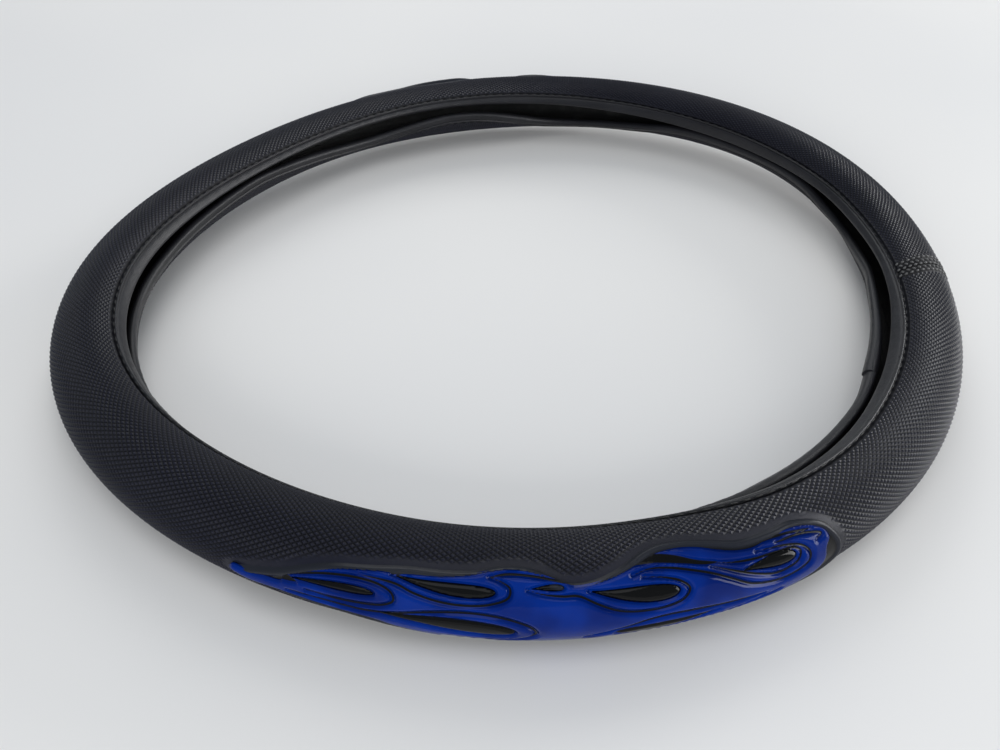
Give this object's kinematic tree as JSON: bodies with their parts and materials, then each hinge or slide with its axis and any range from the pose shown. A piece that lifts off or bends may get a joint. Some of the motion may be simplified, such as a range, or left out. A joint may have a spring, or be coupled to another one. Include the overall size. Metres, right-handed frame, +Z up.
{
  "type": "steering wheel cover",
  "caption": "Padded ring cover that wraps a steering wheel's rim, open along its inner side, with textured skin and two raised blue flame inserts.",
  "frame": {"origin": "on the surface that the cover lies on, below the middle of its bounding box", "axes": "+Z up, along the steering wheel's axis; +X to the right and -Y towards the viewer of the picture, where the near insert is"},
  "size_m": [0.3946, 0.3918, 0.0357],
  "materials": {
    "core": "matt black moulded rubber",
    "skin": "black leatherette with a fine embossed diamond grain, satin",
    "edging": "smooth black leatherette, satin",
    "insert_base": "black moulding, glossy in the drops and satin on the margin",
    "flames": "deep blue gloss"
  },
  "bodies": {
    "root": {"core_ring": "core", "textured_skin": "skin", "upper_edging": "edging", "lower_edging": "edging", "insert_base_near": "insert_base", "insert_base_far": "insert_base", "insert_flames_near": "flames", "insert_flames_far": "flames"}
  },
  "joints": []
}
